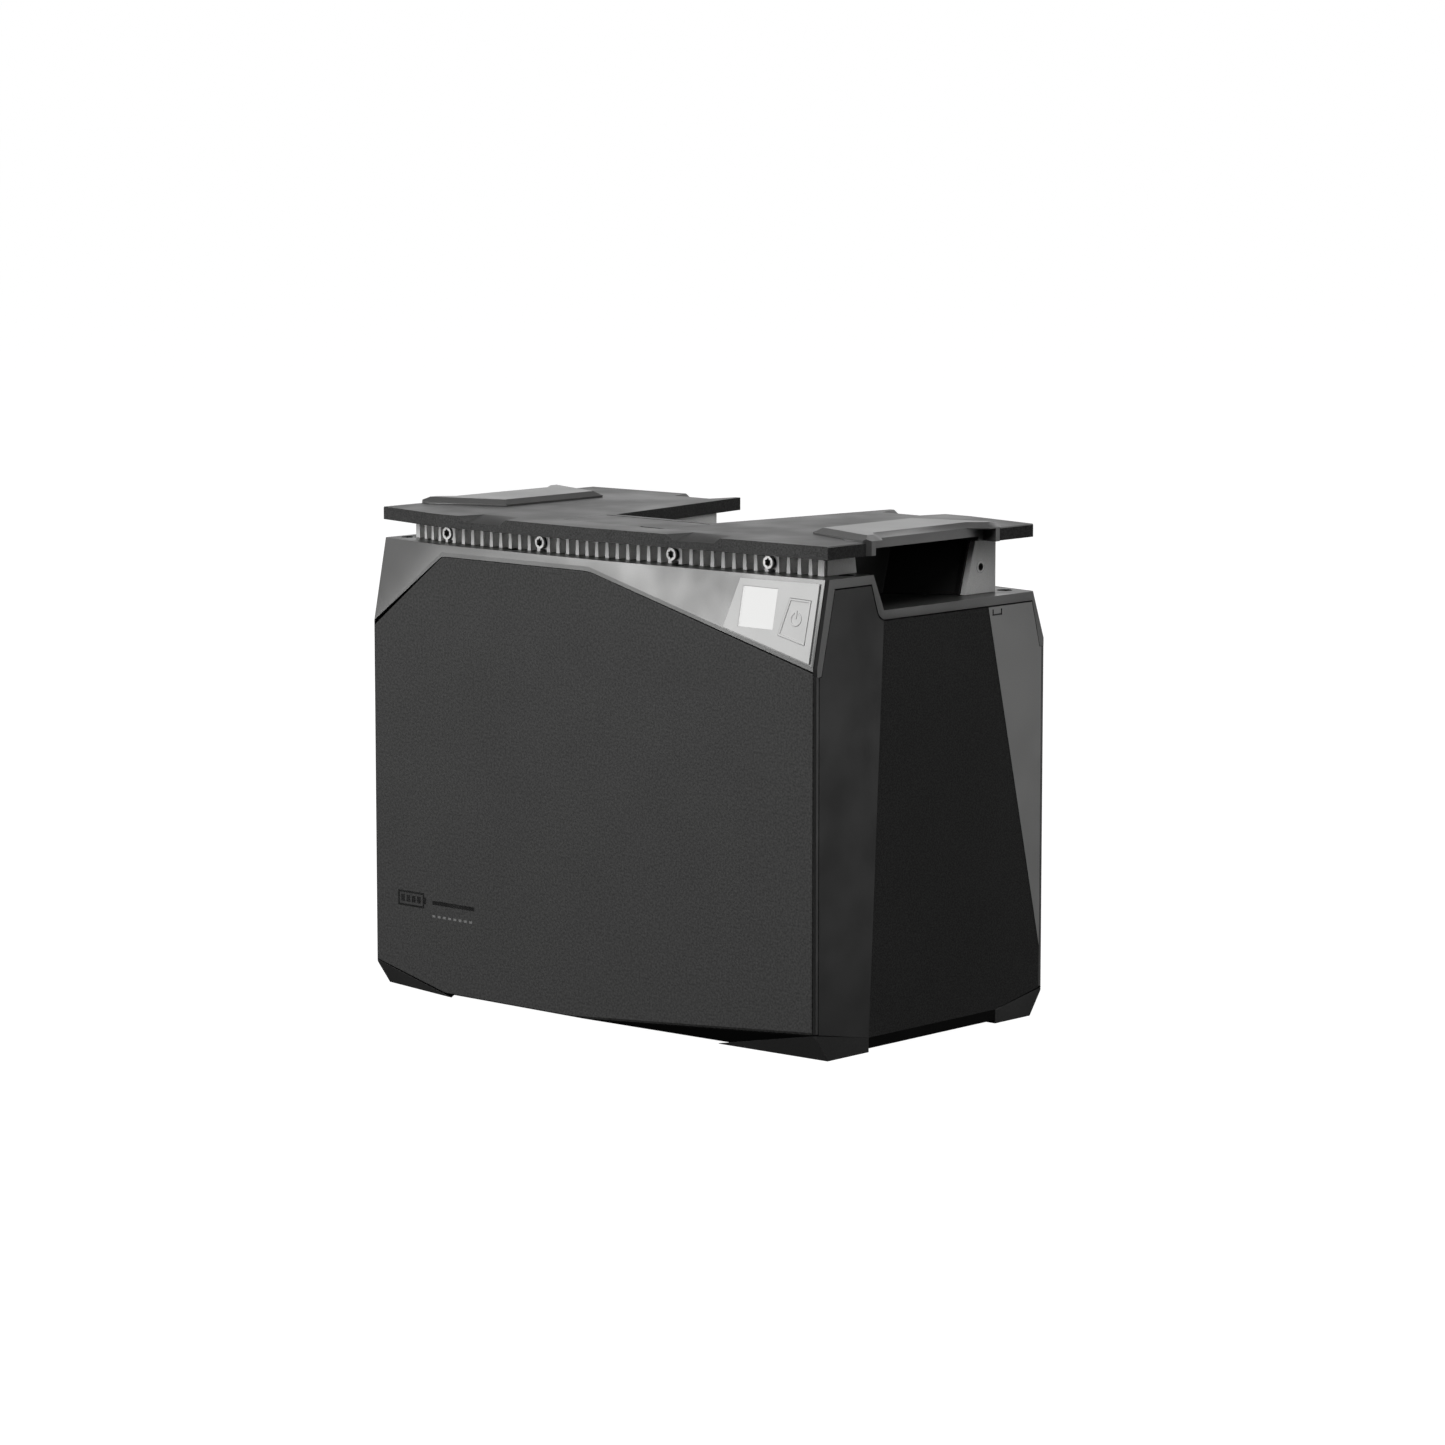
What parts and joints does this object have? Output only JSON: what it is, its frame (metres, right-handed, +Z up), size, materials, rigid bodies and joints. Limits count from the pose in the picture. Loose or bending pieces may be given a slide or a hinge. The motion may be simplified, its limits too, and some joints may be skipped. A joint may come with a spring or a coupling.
{
  "type": "stackable battery module",
  "caption": "Portable lithium battery module with faceted case, finned top frame, two carry grips, display with power key, service hatch and rear connector bay.",
  "frame": {"origin": "centre of the footprint on the floor", "axes": "+X to the right along the display side, +Y away from the display side to the rear, +Z up"},
  "size_m": [0.354, 0.2015, 0.29],
  "materials": {
    "skin_black": "satin moulded black",
    "panel_black": "fine textured black powder coat",
    "field_black": "satin and fine textured black",
    "silver_trim": "satin silver grey",
    "fascia": "pale satin grey",
    "display": "lit white",
    "heat_sink": "die cast, satin",
    "cover_black": "fine grain",
    "grip": "satin soft-touch",
    "black_plastic": "matt black",
    "rubber": "matt",
    "steel": "zinc plated",
    "copper": "bare copper",
    "cell_can": "film wrapped",
    "foam": "closed cell foam",
    "board": "green solder mask",
    "nylon": "natural",
    "lead_red": "matt sleeve",
    "lead_black": "matt sleeve",
    "brass": "silvered"
  },
  "bodies": {
    "case": {"base_screws": "steel", "base_tray": "skin_black", "board_parts": "black_plastic", "busbars": "copper", "case_body": "skin_black", "case_screws": "steel", "case_seal": "rubber", "cell_pads": "foam", "cell_straps": "steel", "cell_tray": "foam", "cells": "cell_can", "connector_panel": "black_plastic", "control_board": "board", "display_board": "board", "display_fascia": "fascia", "display_glass": "display", "electronics_carrier": "nylon", "end_plates": "heat_sink", "fin_bar": "heat_sink", "fin_bar_screws": "steel", "foot_front_left": "rubber", "foot_front_right": "rubber", "foot_rear_left": "rubber", "foot_rear_right": "rubber", "frame_rail": "heat_sink", "front_panel": "panel_black", "front_trim": "silver_trim", "ground_stud": "brass", "hinge_pins": "steel", "left_frame_ends": "heat_sink", "left_grip": "grip", "left_link_port": "black_plastic", "left_side_cover": "field_black", "left_side_frame": "heat_sink", "left_well_liner": "black_plastic", "main_fuse": "nylon", "negative_lead": "lead_black", "panel_screws": "steel", "positive_lead": "lead_red", "power_contacts": "brass", "power_receptacle": "black_plastic", "rear_panel": "panel_black", "rear_trim": "silver_trim", "right_frame_ends": "heat_sink", "right_grip": "grip", "right_link_port": "black_plastic", "right_side_cover": "field_black", "right_side_frame": "heat_sink", "right_well_liner": "black_plastic", "service_block": "black_plastic", "side_inserts": "steel", "thermal_pads": "foam", "top_cover": "cover_black", "upper_case": "skin_black", "vent_valve": "black_plastic"},
    "power_key": {"power_key": "fascia"},
    "hatch": {"hatch_lid": "cover_black"},
    "power_cap": {"power_cap": "rubber"},
    "left_link_cap": {"left_link_cap": "rubber"},
    "right_link_cap": {"right_link_cap": "rubber"}
  },
  "joints": [
    {"name": "power_key_rock", "type": "hinge", "parent": "case", "child": "power_key", "pos_m": [0.15897, -0.09316, 0.25637], "axis": [0.9983, 0.0456, -0.0369], "range_deg": [0, 2.5], "stiffness_Nm_per_rad": 0.1, "springref_deg": -2.86},
    {"name": "hatch_hinge", "type": "hinge", "parent": "case", "child": "hatch", "pos_m": [0, -0.04, 0.2849], "axis": [-1, 0, 0], "range_deg": [0, 95]},
    {"name": "power_cap_hinge", "type": "hinge", "parent": "case", "child": "power_cap", "pos_m": [0, 0.0262, 0.2712], "axis": [-1, 0, 0], "range_deg": [0, 110]},
    {"name": "left_link_cap_hinge", "type": "hinge", "parent": "case", "child": "left_link_cap", "pos_m": [-0.024, 0.0578, 0.2652], "axis": [-1, 0, 0], "range_deg": [0, 120]},
    {"name": "right_link_cap_hinge", "type": "hinge", "parent": "case", "child": "right_link_cap", "pos_m": [0.024, 0.0578, 0.2652], "axis": [-1, 0, 0], "range_deg": [0, 120]}
  ]
}
